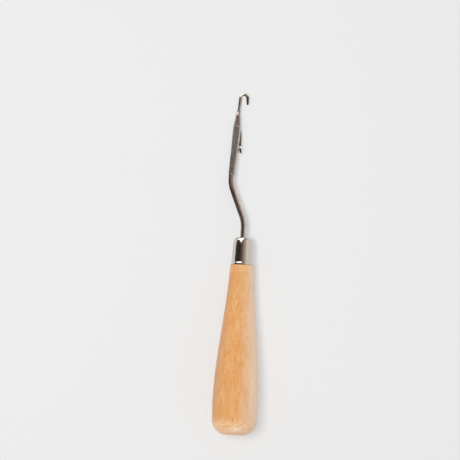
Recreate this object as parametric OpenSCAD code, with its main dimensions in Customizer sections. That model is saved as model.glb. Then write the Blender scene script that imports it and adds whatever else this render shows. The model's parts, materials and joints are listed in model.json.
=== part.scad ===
// Latch hook tool: a turned wooden handle, a drawn metal ferrule, a cranked steel needle that ends in
// a slotted blade and a small hook, and a latch that swings on a rivet to close the hook.
//
// Every piece is drawn in the tool's own frame: +Y runs along the handle's axis from the butt to the
// hook, +X points to the hook's open side and Z goes through the blade's flat faces. The finished
// tool is then laid down on the XY plane, where the handle's belly and the hook touch it.

/* [Handle] */
// Length from the butt to the shoulder that the ferrule meets
handle_length = 79.1; // [76:0.1:90]
// Greatest diameter, at the belly
belly_d = 21.4; // [20:0.2:24]
// Distance of the belly from the butt
belly_at = 15; // [13:1:20]
// Diameter of the neck below the ferrule
neck_d = 11.2; // [10.8:0.1:12]
// Diameter of the small flat on the butt
butt_flat_d = 7; // [6:0.5:7]
// Radius of the rounding between that flat and the side
butt_rounding = 7; // [6:0.5:7]
// How early the neck starts to swell, as the slope of the outline at the neck
neck_flare = 0.38; // [0:0.02:0.8]

/* [Ferrule] */
// Length of the ferrule over the neck
ferrule_length = 12.8; // [11:0.1:14]
// Diameter just above the lip
ferrule_d = 10.3; // [10:0.1:10.6]
// Diameter just below the rounded shoulder
ferrule_top_d = 9.3; // [8.8:0.1:9.8]
// Thickness of the sheet
ferrule_wall = 0.5; // [0.4:0.05:0.7]
// Radius of the rounded shoulder
ferrule_shoulder = 1.3; // [0.9:0.1:1.6]
// How far the rolled lip stands out
lip_height = 0.2; // [0.1:0.05:0.3]
// Gap between the end of the wooden tenon and the closed end of the ferrule
tenon_end_gap = 1; // [0.5:0.1:2]

/* [Needle] */
// Diameter of the steel rod
shank_d = 3.1; // [2.8:0.1:3.4]
// Length of the tang below the handle's shoulder
tang_length = 36; // [25:1:45]
// Distance from the butt to the corner of the first bend
first_bend_at = 99.6; // [98:0.2:102]
// Distance from the butt to the corner of the elbow
elbow_at = 117.1; // [115:0.1:120]
// Distance from the handle's axis to the corner of the elbow
elbow_offset = 7.07; // [5:0.01:8]
// Radius of both bends, at the middle of the rod
bend_radius = 15; // [12:0.5:16]
// Angle between the blade and the handle's axis
head_lean = 3.24; // [0:0.02:6]

/* [Blade] */
// Width of the blade just below the rivet
blade_w = 3.8; // [3.6:0.1:4.2]
// Width of the blade where the flats start
blade_root_w = 3.4; // [3.2:0.1:3.6]
// Thickness between the flats at the rivet
blade_t = 2; // [1.9:0.1:2.2]
// Thickness between the flats where they start
blade_root_t = 2.6; // [2.4:0.1:2.8]
// Distance from the elbow's corner to the start of the flats
flats_at = 4.4; // [4:0.2:6]
// Distance from the elbow's corner to the rivet
pivot_at = 26.7; // [26:0.1:28]
// Offset of the rivet from the blade's middle, towards the hook's open side
pivot_offset = 0.45; // [0.3:0.05:0.6]
// Distance from the elbow's corner to the end of the taper
taper_end = 37.5; // [36:0.1:38]
// Width of the saw cut that holds the latch
slot_w = 0.9; // [0.85:0.05:1.1]
// Radius of the saw that cuts the slot
saw_r = 20; // [19:0.5:22]
// Distance of the saw's centre beyond the rivet, which sets where the open latch stops
saw_beyond_pivot = 0.5; // [0.3:0.1:0.6]
// Steel left behind the slot at its deepest
spine_w = 1.05; // [1:0.05:1.05]

/* [Hook] */
// Diameter of the stem below the hook
stem_d = 1.46; // [1.4:0.02:1.6]
// Diameter of the wire around the hook
hook_wire_d = 1.4; // [1.3:0.02:1.46]
// Diameter at the rounded tip
tip_d = 1; // [0.9:0.05:1.1]
// Radius of the hook at the middle of the wire
hook_radius = 1.7; // [1.6:0.05:1.8]
// Distance from the elbow's corner to the centre of the hook's curve
hook_at = 40.5; // [40:0.1:41]
// Length of the straight leg from the curve to the centre of its rounded tip
tip_leg = 2.6; // [2.4:0.1:2.8]
// Angle by which that leg opens outwards
tip_splay = 5; // [3:0.5:6]

/* [Latch] */
// Thickness of the latch
latch_t = 0.8; // [0.7:0.05:0.8]
// Angle between the open latch and the blade
latch_rest = 10.8; // [10.5:0.1:12]
// Radius of the eye around the rivet
eye_r = 1.2; // [1:0.05:1.2]
// Distance from the rivet to where the arm starts to narrow
arm_full_at = 4; // [3:0.2:5]
// Distance from the rivet to the narrow neck
neck_at = 8.9; // [8.5:0.1:9]
// Height of the neck's front edge over the latch's middle line
neck_front = 0.58; // [0.5:0.02:0.6]
// Depth of the neck's back edge under the latch's middle line
neck_back = 0.36; // [0.34:0.01:0.4]
// Distance from the rivet to the middle of the cup's far round end
cup_at = 11.45; // [11.4:0.05:11.5]
// Length of the cup between the middles of its two round ends
cup_length = 1.35; // [1.2:0.05:1.35]
// Radius of the outside of the cup
cup_r = 1.05; // [1:0.01:1.05]
// Thickness of the cup's wall
cup_wall = 0.25; // [0.2:0.05:0.25]
// Height of the middle of the cup's round back over the latch's middle line
cup_rise = 0.6; // [0.6:0.01:0.65]
// Height of the cup's rim over the same line
cup_rim = 0.45; // [0.4:0.01:0.45]

/* [Rivet] */
// Diameter of the rivet's shank
rivet_d = 1.1; // [1:0.05:1.2]
// Radial clearance of the latch on the rivet
rivet_clearance = 0.05; // [0.03:0.01:0.08]
// Diameter of the rivet's heads
rivet_head_d = 1.7; // [1.5:0.1:1.9]
// Height of the rivet's domed heads
rivet_head_h = 0.22; // [0.15:0.01:0.3]

/* [Hidden] */
$fn = 96;

// Margin by which a cutting shape runs past what it cuts
past = 1;
// How much wider than a rod or a trough are the balls that round it off, too little to be seen
ball_extra = 0.02;
// Steps along the handle's curves, around a rounding and along the blade's taper
outline_steps = 28;
rounding_steps = 12;
taper_steps = 12;

// Greatest radius of the handle and its radius where the rounded butt ends
belly_r = belly_d / 2;
butt_side_r = butt_flat_d / 2 + butt_rounding;
// Length of the tenon inside the ferrule
tenon_length = ferrule_length - ferrule_wall - tenon_end_gap;

// Turn of the rod at the first bend and at the elbow
first_turn = atan2(elbow_offset, elbow_at - first_bend_at);
elbow_turn = first_turn + head_lean;
// Length that each bend takes from the straights on both sides of its corner
first_tangent = bend_radius * tan(first_turn / 2);
elbow_tangent = bend_radius * tan(elbow_turn / 2);
slanted_length = norm([elbow_offset, elbow_at - first_bend_at]);

// The blade narrows from here on, and its flats reach their full depth a little before that
taper_start = pivot_at - 1.5;
flats_level_at = pivot_at - 2;
// Depth of the slot under the blade's middle, towards its back
saw_depth = blade_w / 2 - spine_w;

// Outline of the handle from the end of the rounded butt to the shoulder, as [radius, distance]
handle_side = [for (i = [1 : outline_steps])
    let (s = butt_rounding + (handle_length - butt_rounding) * i / outline_steps)
    [handle_r(s), s]];

// Distance from the butt to the far end of the hook's middle line
hook_end = elbow_at + hook_at * cos(head_lean) + hook_radius * (1 - sin(head_lean));
// Slope of the handle's axis when the handle's underside and the hook's both touch the table
rest_pitch = max([for (point = handle_side)
    let (reach = [hook_end - point[1], point[0]])
    atan2(reach[1], reach[0]) - asin(hook_wire_d / 2 / norm(reach))]);
// Height of the butt's centre over the table, and the distance from it to the model's middle
butt_height = hook_end * sin(rest_pitch) + hook_wire_d / 2;
middle_along = (hook_end * cos(rest_pitch) + hook_wire_d / 2
    - butt_rounding * (1 - cos(rest_pitch)) - butt_flat_d / 2 * sin(rest_pitch)) / 2;

// Smooth step from 0 to 1 with a flat start and a flat end
function ease(t) = t * t * (3 - 2 * t);
// The same step, leaving 0 with a given slope
function flared_ease(t, slope) = ease(t) + slope * t * pow(1 - t, 2);

// Radius of the handle at a distance from the butt, past the rounded butt
function belly_swell(s) =
    butt_side_r + (belly_r - butt_side_r) * ease((s - butt_rounding) / (belly_at - butt_rounding));
function neck_r(s) =
    neck_d / 2 + (belly_r - neck_d / 2)
        * flared_ease((handle_length - s) / (handle_length - belly_at), neck_flare);
function handle_r(s) = s < belly_at ? belly_swell(s) : neck_r(s);

// Radius of the ferrule's straight wall at a distance from its mouth
function ferrule_r(h) =
    ferrule_d / 2 + (ferrule_top_d - ferrule_d) / 2 * h / (ferrule_length - ferrule_shoulder);

// Half width of the tapering blade at a distance from the elbow's corner
function taper_r(a) =
    blade_w / 2 + (stem_d - blade_w) / 2 * ease((a - taper_start) / (taper_end - taper_start));

// A solid turned about +Y, from an outline of [radius, distance along the axis]
module turned(outline) {
    rotate([-90, 0, 0]) mirror([0, 1, 0]) rotate_extrude() polygon(outline);
}

// A straight rod along +Y from the origin
module rod(d, length) {
    rotate([-90, 0, 0]) cylinder(d = d, h = length);
}

// A rod that starts at the origin along +Y and bends towards -X, with a ball in each of its ends
module bent_rod(d, radius, turn) {
    translate([-radius, 0, 0]) {
        rotate_extrude(angle = turn) translate([radius, 0]) circle(d = d);
        for (end = [0, turn]) rotate([0, 0, end]) translate([radius, 0, 0]) sphere(d = d + ball_extra);
    }
}

// Lays the finished tool down on the XY plane
module laid_down() {
    translate([0, -middle_along, butt_height]) rotate([-rest_pitch, 0, 0]) children();
}

// Moves to the corner of the elbow, with +Y along the blade
module at_elbow() {
    translate([-elbow_offset, elbow_at, 0]) rotate([0, 0, -head_lean]) children();
}

// Moves to the rivet, with +Y still along the blade
module at_pivot() {
    at_elbow() translate([pivot_offset, pivot_at, 0]) children();
}

// Handle: rounded butt, belly, slender neck, and a tenon that the ferrule covers
module handle_blank() {
    rounding = [for (i = [0 : rounding_steps]) let (a = 90 * i / rounding_steps)
        [butt_flat_d / 2 + butt_rounding * sin(a), butt_rounding * (1 - cos(a))]];
    tenon = [
        [ferrule_r(0) - ferrule_wall, handle_length],
        [ferrule_r(tenon_length) - ferrule_wall, handle_length + tenon_length],
        [0, handle_length + tenon_length]
    ];
    turned(concat([[0, 0]], rounding, handle_side, tenon));
}

module handle() {
    color("burlywood") laid_down() difference() {
        handle_blank();
        translate([0, handle_length - tang_length, 0]) rod(shank_d, tang_length + ferrule_length);
    }
}

// Ferrule: a thin cap with a rolled lip, a slight taper and a rounded shoulder around the shank
module ferrule_blank() {
    lip = [for (i = [0 : rounding_steps]) let (a = 180 * i / rounding_steps)
        [ferrule_d / 2 + lip_height * sin(a), handle_length + 2 * lip_height * (1 - cos(a))]];
    shoulder = [for (i = [0 : rounding_steps]) let (a = 90 * i / rounding_steps)
        [ferrule_top_d / 2 - ferrule_shoulder * (1 - cos(a)),
            handle_length + ferrule_length - ferrule_shoulder * (1 - sin(a))]];
    turned(concat([[0, handle_length]], lip, shoulder, [[0, handle_length + ferrule_length]]));
}

module ferrule_hollow() {
    corner = ferrule_length - 2 * ferrule_wall;
    end = ferrule_length - ferrule_wall;
    turned([
        [0, handle_length - past],
        [ferrule_r(-past) - ferrule_wall, handle_length - past],
        [ferrule_r(corner) - ferrule_wall, handle_length + corner],
        [ferrule_r(end) - 2 * ferrule_wall, handle_length + end],
        [0, handle_length + end]
    ]);
}

module ferrule() {
    color("silver") laid_down() difference() {
        ferrule_blank();
        ferrule_hollow();
        translate([0, handle_length, 0]) rod(shank_d, ferrule_length + past);
    }
}

// Tang, shank and crank, up to the end of the elbow
module shank() {
    tang_start = handle_length - tang_length;
    translate([0, tang_start, 0]) rod(shank_d, first_bend_at - first_tangent - tang_start);
    translate([0, first_bend_at - first_tangent, 0]) bent_rod(shank_d, bend_radius, first_turn);
    translate([0, first_bend_at, 0]) rotate([0, 0, first_turn]) translate([0, first_tangent, 0])
        rod(shank_d, slanted_length - first_tangent - elbow_tangent);
    translate([-elbow_offset, elbow_at, 0]) rotate([0, 0, first_turn])
        translate([0, -elbow_tangent, 0]) mirror([1, 0, 0])
            bent_rod(shank_d, bend_radius, elbow_turn);
}

// The round blank of the blade, its taper and its stem, before the flats and the slot are cut
module head_blank() {
    taper = [for (i = [0 : taper_steps])
        let (a = taper_start + (taper_end - taper_start) * i / taper_steps) [taper_r(a), a]];
    turned(concat(
        [[0, elbow_tangent], [shank_d / 2, elbow_tangent], [blade_root_w / 2, flats_at]],
        taper,
        [[hook_wire_d / 2, hook_at], [0, hook_at]]
    ));
}

// What the press takes off one face of the blade: little at the start, most at the rivet
module flat_cut() {
    rotate([0, -90, 0]) linear_extrude(2 * blade_w, center = true) polygon([
        [blade_root_t / 2, flats_at], [blade_t / 2, flats_level_at], [blade_t / 2, taper_end],
        [blade_w, taper_end], [blade_w, flats_at]
    ]);
}

// The slot for the latch, which leaves a spine of steel at the blade's back
module slot_cut() {
    translate([saw_r - saw_depth, pivot_at + saw_beyond_pivot, 0])
        cylinder(r = saw_r, h = slot_w, center = true);
}

// Hook: wire curved towards +X, then a straight, tapering leg with a rounded tip
module hook() {
    translate([hook_radius, hook_at, 0]) rotate([0, 0, tip_splay]) translate([hook_radius, 0, 0]) {
        bent_rod(hook_wire_d, hook_radius, 180 - tip_splay);
        rotate([90, 0, 0]) cylinder(d1 = hook_wire_d, d2 = tip_d, h = tip_leg);
        translate([0, -tip_leg, 0]) sphere(d = tip_d);
    }
}

module needle() {
    color("dimgray") laid_down() difference() {
        union() {
            shank();
            at_elbow() head_blank();
            at_elbow() hook();
        }
        at_elbow() flat_cut();
        at_elbow() mirror([0, 0, 1]) flat_cut();
        at_elbow() slot_cut();
        at_pivot() cylinder(d = rivet_d, h = 2 * blade_w, center = true);
    }
}

// Latch: a flat arm with an eye and a narrow neck, and a small trough with round ends, the cup, for
// the hook's tip. It is drawn along +X from the rivet, with the open side of the cup towards +Y.
module latch_outline() {
    circle(r = eye_r);
    polygon([
        [0, -eye_r], [neck_at, -neck_back], [cup_at - cup_length, -neck_back],
        [cup_at - cup_length, cup_rim], [neck_at, neck_front], [arm_full_at, eye_r], [0, eye_r]
    ]);
}

module cup_form(r) {
    translate([cup_at, cup_rise, 0]) {
        sphere(r = r + ball_extra / 2);
        rotate([0, -90, 0]) cylinder(r = r, h = cup_length);
        translate([-cup_length, 0, 0]) sphere(r = r + ball_extra / 2);
    }
}

module cup_blank() {
    intersection() {
        cup_form(cup_r);
        translate([neck_at - cup_r, cup_rim - 4 * cup_r, -2 * cup_r]) cube([cup_at, 4 * cup_r, 4 * cup_r]);
    }
}

module latch() {
    color("gray") laid_down() at_pivot() rotate([0, 0, latch_rest - 90]) difference() {
        union() {
            linear_extrude(latch_t, center = true) latch_outline();
            cup_blank();
        }
        cup_form(cup_r - cup_wall);
        cylinder(r = rivet_d / 2 + rivet_clearance, h = 2 * blade_t, center = true);
    }
}

// Rivet: a short pin with a low domed head on each flat
module rivet_head() {
    dome_r = (pow(rivet_head_d / 2, 2) + pow(rivet_head_h, 2)) / (2 * rivet_head_h);
    intersection() {
        translate([0, 0, blade_t / 2 + rivet_head_h - dome_r]) sphere(r = dome_r);
        translate([0, 0, blade_t / 2]) cylinder(d = 2 * rivet_head_d, h = rivet_head_h + past);
    }
}

module rivet() {
    color("darkgray") laid_down() at_pivot() {
        cylinder(d = rivet_d, h = blade_t, center = true);
        rivet_head();
        mirror([0, 0, 1]) rivet_head();
    }
}

handle();
ferrule();
needle();
latch();
rivet();
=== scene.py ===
# %% [markdown]
# # A latch hook, piece by piece
# A latch hook pulls short lengths of yarn through a rug canvas. It is a turned wooden handle, a metal
# ferrule, a steel needle with a cranked shank and a hook, and a small latch that swings on a rivet.
# The solids are fixed already. This lesson dresses them: each piece is modelled again in finer detail,
# in the place where the solid is, and gets its own finish.

# %% Load the fixed model
import json
import math

import bmesh
import bpy
from mathutils import Matrix, Vector


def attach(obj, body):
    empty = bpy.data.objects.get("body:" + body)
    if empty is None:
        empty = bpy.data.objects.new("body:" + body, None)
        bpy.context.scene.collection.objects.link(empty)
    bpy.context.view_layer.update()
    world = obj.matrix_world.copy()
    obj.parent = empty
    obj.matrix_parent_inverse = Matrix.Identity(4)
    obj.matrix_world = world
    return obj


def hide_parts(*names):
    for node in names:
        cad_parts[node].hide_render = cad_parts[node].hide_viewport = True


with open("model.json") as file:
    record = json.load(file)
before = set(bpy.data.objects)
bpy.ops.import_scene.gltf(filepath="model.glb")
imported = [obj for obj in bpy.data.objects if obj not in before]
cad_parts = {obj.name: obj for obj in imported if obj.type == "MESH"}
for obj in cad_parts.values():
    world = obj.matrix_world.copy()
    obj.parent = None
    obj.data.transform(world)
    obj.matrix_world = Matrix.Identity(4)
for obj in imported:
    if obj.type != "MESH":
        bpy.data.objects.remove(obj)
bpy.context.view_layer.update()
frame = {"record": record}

MM = 0.001

# %% [markdown]
# ## The camera
# The picture was taken from straight above, with the tool's axis leaning three degrees to the right.
# A long lens far away keeps both ends of a long, thin object at the same scale. A closer camera would
# make the handle, which stands higher than the hook, look too fat.

# %% Camera
FRAME_PIXELS = 460
LENS_MM = 200
CAMERA_OVER = Vector((-6.546, 15.496, 1199.6)) * MM
CAMERA_ROLL = math.radians(2.94)
CLIP_FROM, CLIP_TO = 0.1, 10.0


def make_camera():
    data = bpy.data.cameras.new("camera")
    data.lens = LENS_MM
    data.clip_start, data.clip_end = CLIP_FROM, CLIP_TO
    camera = bpy.data.objects.new("camera", data)
    camera.location = CAMERA_OVER
    camera.rotation_euler = (0, 0, CAMERA_ROLL)
    bpy.context.scene.collection.objects.link(camera)
    bpy.context.scene.camera = camera
    return data


camera_data = make_camera()
seen_width = CAMERA_OVER.z * camera_data.sensor_width / LENS_MM
print("one pixel on the table is", round(seen_width / FRAME_PIXELS / MM, 3), "mm")

# %% [markdown]
# ## The tool's own frame
# The pieces are drawn as a maker would draw them, with +Y along the handle's axis from the butt and
# +X to the hook's open side. Lying on the table, the tool leans a little, on its belly and its hook.
# The record's mount on the butt says where that axis starts and how it slopes, so one matrix lays
# every finished mesh down where its solid lies.

# %% Where the tool lies
mounts = {mount["name"]: mount for mount in frame["record"]["mounts"]}
butt_place = Vector(mounts["butt_face"]["pos_m"])
slope = math.asin(mounts["butt_face"]["axis"][2])
LAY_DOWN = Matrix.Translation(butt_place) @ Matrix.Rotation(-slope, 4, "X")
print("the handle's axis slopes by", round(math.degrees(slope), 2), "degrees")


def ease(t):
    """Smooth step from 0 to 1."""
    t = min(1.0, max(0.0, t))
    return t * t * (3 - 2 * t)


def between(t, first, last):
    return first + (last - first) * t


def stations(start, step, numbers):
    """Evenly spaced distances along a piece."""
    return [start + step * number for number in numbers]


# %% [markdown]
# ## Shader maths as Python
# A material is a graph of nodes. Wiring a dozen Math nodes by hand is hard to read, so a small class
# wraps a socket and gives it Python's operators: `1 - mask * 0.3` then adds the nodes by itself.
# Every other node comes from one method, which takes its type, its settings and its inputs.
# `step`, `mask` and `band` are the soft-edged masks that the finishes below are made with.

# %% A socket with operators
class Wire:
    """A socket of a node tree. An expression on it adds Math nodes."""

    def __init__(self, nodes, socket):
        self.nodes, self.socket = nodes, socket

    def __add__(self, other):
        return self.nodes.maths("ADD", self, other)

    def __radd__(self, other):
        return self.nodes.maths("ADD", other, self)

    def __sub__(self, other):
        return self.nodes.maths("SUBTRACT", self, other)

    def __rsub__(self, other):
        return self.nodes.maths("SUBTRACT", other, self)

    def __mul__(self, other):
        return self.nodes.maths("MULTIPLY", self, other)

    def __rmul__(self, other):
        return self.nodes.maths("MULTIPLY", other, self)

    def __truediv__(self, size):
        """Divides a number by a number or a socket, or each part of a vector by a number."""
        if self.socket.type == "VECTOR":
            return self.nodes.stretched(self, (size,) * 3)
        return self.nodes.maths("DIVIDE", self, size)

    def __rtruediv__(self, other):
        return self.nodes.maths("DIVIDE", other, self)

    def __abs__(self):
        return self.nodes.maths("ABSOLUTE", self)

    def step(self, start, end, low=0.0, high=1.0):
        """Rises smoothly from low at start to high at end."""
        return self.nodes.add("ShaderNodeMapRange", {"interpolation_type": "SMOOTHSTEP"},
                              [self, start, end, low, high])

    def mask(self, start, full, cover):
        """How much a pattern covers, from where it starts to show to where it is full."""
        return self.step(start, full) * cover

    def band(self, rise, fall):
        """1 between two soft edges, each given by its start and its end."""
        return self.step(*rise) * self.step(*fall)


# %% [markdown]
# The node tree has the one method that adds nodes, and short names for the few kinds that are used
# again and again. Node groups could hold those too, but each would need sockets of its own first.

# %% A node tree that adds nodes
class Nodes:
    """The node tree of a material or of the world."""

    def __init__(self, tree):
        self.tree = tree
        tree.nodes.clear()

    def add(self, kind, settings=None, values=(), out=0):
        node = self.tree.nodes.new(kind)
        for name, value in (settings or {}).items():
            if name == "stops":
                self.set_stops(node.color_ramp, value)
            else:
                setattr(node, name, value)
        for key, value in values.items() if isinstance(values, dict) else enumerate(values):
            if isinstance(value, Wire):
                self.tree.links.new(value.socket, node.inputs[key])
            elif value is not None:
                node.inputs[key].default_value = value
        return Wire(self, node.outputs[out]) if node.outputs else None

    def set_stops(self, ramp, stops):
        while len(ramp.elements) < len(stops):
            ramp.elements.new(1.0)
        for element, (position, colour) in zip(ramp.elements, stops):
            element.position = position
            element.color = (*colour, 1.0)

    def maths(self, operation, *values):
        return self.add("ShaderNodeMath", {"operation": operation}, values)

    def mix(self, factor, first, second, blend="MIX"):
        """Mixes two colours. A Mix node keeps its colour sockets at 6 and 7, and its result at 2."""
        first, second = (value if isinstance(value, Wire) else (*value, 1.0) for value in (first, second))
        return self.add("ShaderNodeMix", {"data_type": "RGBA", "blend_type": blend},
                        {0: factor, 6: first, 7: second}, out=2)

    def stretched(self, place, stretch):
        """A place divided by the size of a pattern's cell along X, Y and Z, in metres."""
        return self.add("ShaderNodeVectorMath", {"operation": "DIVIDE"}, [place, stretch])

    def grain(self, place, width, length, detail=3.0, roughness=0.5):
        """Noise in cells that are width across the tool and length along it, in millimetres."""
        cells = self.stretched(place, (width * MM, length * MM, width * MM))
        return self.add("ShaderNodeTexNoise", {}, {"Vector": cells, "Scale": 1.0, "Detail": detail,
                                                   "Roughness": roughness})

    def split(self, place, parts):
        """The named parts of a vector, such as "XY"."""
        return [self.add("ShaderNodeSeparateXYZ", {}, [place], out=part) for part in parts]


# %% [markdown]
# A pattern needs a place to start from. Object coordinates stay with a piece when it moves, and undoing
# the matrix that laid the tool down turns them back into the tool's own frame. Generated coordinates
# would stretch with each piece's box, so the grain would have another scale on each piece.

# %% Places, bumps and the shader itself
def tool_place(nodes):
    """Object coordinates, turned so that +Y runs along the handle's axis again, from the butt."""
    place = nodes.add("ShaderNodeTexCoord", out="Object")
    back = LAY_DOWN.inverted()
    return nodes.add("ShaderNodeMapping", {}, [place, back.to_translation(), back.to_euler()])


def new_material(name):
    material = bpy.data.materials.new(name)
    material.use_nodes = True
    return material, Nodes(material.node_tree)


def close_material(nodes, **sockets):
    """Adds the shader itself. Underscores in the names of its sockets stand for spaces."""
    named = {name.replace("_", " "): value for name, value in sockets.items()}
    shader = nodes.add("ShaderNodeBsdfPrincipled", {}, named)
    nodes.add("ShaderNodeOutputMaterial", {}, [shader])


def bump(nodes, height, depth):
    """A normal from a height map: depth is how far, in metres, the surface rises from 0 to 1."""
    return nodes.add("ShaderNodeBump", {}, {"Height": height, "Distance": depth, "Strength": 1.0})


print("shader helpers:", [name for name in vars(Nodes) if not name.startswith("_")])

# %% [markdown]
# ## The handle's wood
# The handle is a pale hardwood, honey coloured under a satin lacquer. Its right side is painted
# paler, as a painted sheen of the lacquer that hides some of the streaks, and its right edge gets a
# painted highlight on top. Its left edge is painted a little darker, as painted shade. Close by, the
# grain is short pores and orange flecks, drawn out along the axis, and pale specks where the lacquer
# stands over a pore. Below the ferrule the chisel's rings show paler. At the butt the rounding is
# painted lighter, a painted sheen mottled by the grain, with one painted glint, and the last
# millimetre at the butt is darker. Each of these is a mask between two colours, and the masks are
# stretched noise, because a picture of wood would repeat and could not be turned.

# %% The wood's colours and patterns
WOOD_HONEY = (0.745, 0.365, 0.120)
WOOD_STREAK = (0.700, 0.275, 0.062)
WOOD_PALE = (0.860, 0.560, 0.300)
# Painted light from here down: a sheen along the right side and at the butt, a highlight on the right edge,
# shade on the left edge, and a glint
WOOD_SIDE_SHEEN = (0.840, 0.590, 0.400)
WOOD_BUTT_SHEEN = (0.945, 0.615, 0.375)
WOOD_RIM_HIGHLIGHT = (0.105, 0.110, 0.105)
WOOD_LEFT_SHADE = (0.880, 0.840, 0.820)
WOOD_GLINT = (1.000, 0.870, 0.730)
# Each pattern's cells: width and length in millimetres, and detail and roughness if not the usual
WARP_CELLS, CLOUD_CELLS, PORE_CELLS = (4.0, 24.0), (2.6, 11.0), (1.1, 1.1)
STREAK_CELLS, FIBRE_CELLS, SPECK_CELLS = (0.62, 4.4, 2.5), (0.22, 6.0, 4.0, 0.6), (0.55, 1.1, 1.5)
# The noise where each pattern starts to show and where it is full, and how much it covers
CLOUDS, STREAKS, FIBRES = (0.42, 0.70, 0.38), (0.50, 0.70, 0.85), (0.48, 0.80, 0.40)
SPECKS, MOTTLES = (0.60, 0.74, 0.55), (0.48, 0.64, 0.70)
# How high each pattern stands in the bump, and the whole bump's depth
FIBRE_RISE, STREAK_RISE, SPECK_RISE, CLOUD_RISE = 0.5, 0.4, 0.3, 1.5
WOOD_RELIEF = 0.03 * MM
LACQUER_ROUGHNESS, LACQUER_COAT, COAT_ROUGHNESS = (0.3, 0.8, 0.40, 0.50), (0.3, 0.7, 0.30, 0.45), 0.25
print("the finest fibres are", FIBRE_CELLS[0], "mm wide")

# %% [markdown]
# A place across the handle is told as a share of its half width there, from -1 at the left edge to 1
# at the right. A place along it is told in millimetres from the butt. An edge of a mask is soft, so it
# takes two numbers, for where it starts and where it ends, and some have a third for how much they
# cover.

# %% Where on the handle each finish shows
NECK_ABOUT, HANDLE_ABOUT, WIDENING = 5.6, 79.1, 0.08
# The painted sheen down the right side: where it starts and is full, how much it waves, and how much grain
# it hides
SIDE_SHEEN_EDGE, SIDE_SHEEN_WAVE, SIDE_SHEEN_HIDES = (-0.08, 0.92), 0.7, 0.7
# Painted highlight on the right edge, and painted shade on the left edge
RIM_HIGHLIGHT_EDGE, LEFT_SHADE_EDGE = (0.30, 1.0), (-0.5, -1.0)
# Painted sheen on the butt's rounding: where it ends, how frayed its edge is, and how much it covers
BUTT_SHEEN_EDGE, BUTT_SHEEN_FRAY, BUTT_SHEEN_COVER = (8.5, 3.4), 4.0, 0.80
FLAT_EDGE = (0.9, 0.1, 0.5)
# Painted glint on the butt, broken up by the pores
GLINT_ALONG, GLINT_ACROSS = ((1.2, 2.0), (4.4, 3.2)), ((-0.24, -0.06), (0.36, 0.16))
GLINT_PORES, GLINT_COVER = (0.36, 0.52), 0.8
RING_PITCH, RINGS = 0.8, (74.8, 76.2, 0.45)


def make_wood():
    material, nodes = new_material("lacquered_hardwood")
    place = tool_place(nodes)
    across, along = nodes.split(place / MM, "XY")
    side = across / (NECK_ABOUT + (HANDLE_ABOUT - along) * WIDENING)
    warp, cloud, streak, fibre, speck, pores = (
        nodes.grain(place, *cells)
        for cells in (WARP_CELLS, CLOUD_CELLS, STREAK_CELLS, FIBRE_CELLS, SPECK_CELLS, PORE_CELLS))
    # Painted sheen: the right side is painted paler, and the streaks and fibres fade under it
    side_sheen = (side + (warp - 0.5) * SIDE_SHEEN_WAVE).step(*SIDE_SHEEN_EDGE)
    off_sheen = 1 - side_sheen * SIDE_SHEEN_HIDES
    colour = nodes.mix(side_sheen, WOOD_HONEY, WOOD_SIDE_SHEEN)
    colour = nodes.mix(cloud.mask(*CLOUDS), colour, WOOD_PALE)
    colour = nodes.mix(streak.mask(*STREAKS) * off_sheen, colour, WOOD_STREAK)
    colour = nodes.mix(fibre.mask(*FIBRES) * off_sheen, colour, WOOD_STREAK)
    colour = nodes.mix(speck.mask(*SPECKS), colour, WOOD_PALE)
    # Painted highlight: a pale colour is added along the right edge
    colour = nodes.mix(side.step(*RIM_HIGHLIGHT_EDGE), colour, WOOD_RIM_HIGHLIGHT, "ADD")
    # Painted shade: the left edge is darkened
    colour = nodes.mix(side.step(*LEFT_SHADE_EDGE), colour, WOOD_LEFT_SHADE, "MULTIPLY")
    # Painted sheen: the butt's rounding is painted lighter, and the pores below mottle it with the grain's
    # colour
    butt_sheen = (along + (cloud - 0.5) * BUTT_SHEEN_FRAY + (streak - 0.5) * BUTT_SHEEN_FRAY).step(*BUTT_SHEEN_EDGE)
    colour = nodes.mix(butt_sheen * BUTT_SHEEN_COVER, colour, WOOD_BUTT_SHEEN)
    # Painted glint: a near-white patch on the butt's rounding
    glint = along.band(*GLINT_ALONG) * side.band(*GLINT_ACROSS) * pores.step(*GLINT_PORES)
    colour = nodes.mix(glint * GLINT_COVER, colour, WOOD_GLINT)
    colour = nodes.mix(pores.mask(*MOTTLES) * butt_sheen, colour, WOOD_HONEY)
    colour = nodes.mix(along.mask(*FLAT_EDGE), colour, WOOD_STREAK)
    ring = nodes.maths("SINE", along * (math.tau / RING_PITCH)) * 0.5 + 0.5
    colour = nodes.mix(ring * along.mask(*RINGS), colour, WOOD_PALE)
    height = fibre * FIBRE_RISE + streak * STREAK_RISE + speck * SPECK_RISE + cloud * CLOUD_RISE
    close_material(nodes, Base_Color=colour, Roughness=fibre.step(*LACQUER_ROUGHNESS),
                   Coat_Weight=cloud.step(*LACQUER_COAT), Coat_Roughness=COAT_ROUGHNESS,
                   Normal=bump(nodes, height, WOOD_RELIEF))
    return material


wood = make_wood()
print("wood has", len(wood.node_tree.nodes), "nodes")

# %% [markdown]
# ## Bright plating
# The ferrule is drawn from thin sheet and brightly plated, so it mirrors the room with only a slight
# waviness from the drawing. A polished metal takes nearly all of its look from what it reflects, so
# its own colour changes little, and roughness and a very shallow bump do the rest.

# %% Plating
PLATING_TINT = (0.68, 0.63, 0.565)
PLATING_WORN = (0.60, 0.54, 0.48)
WAVE_CELLS, DULL_CELLS = (1.3, 3.2, 1.5), (0.35, 0.35, 2.0)
DULL_SPECKS, PLATING_ROUGHNESS = (0.55, 0.75, 0.5), (0.35, 0.75, 0.06, 0.13)
WAVE_DEPTH, SPECK_SHARE = 0.012 * MM, 0.06


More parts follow.
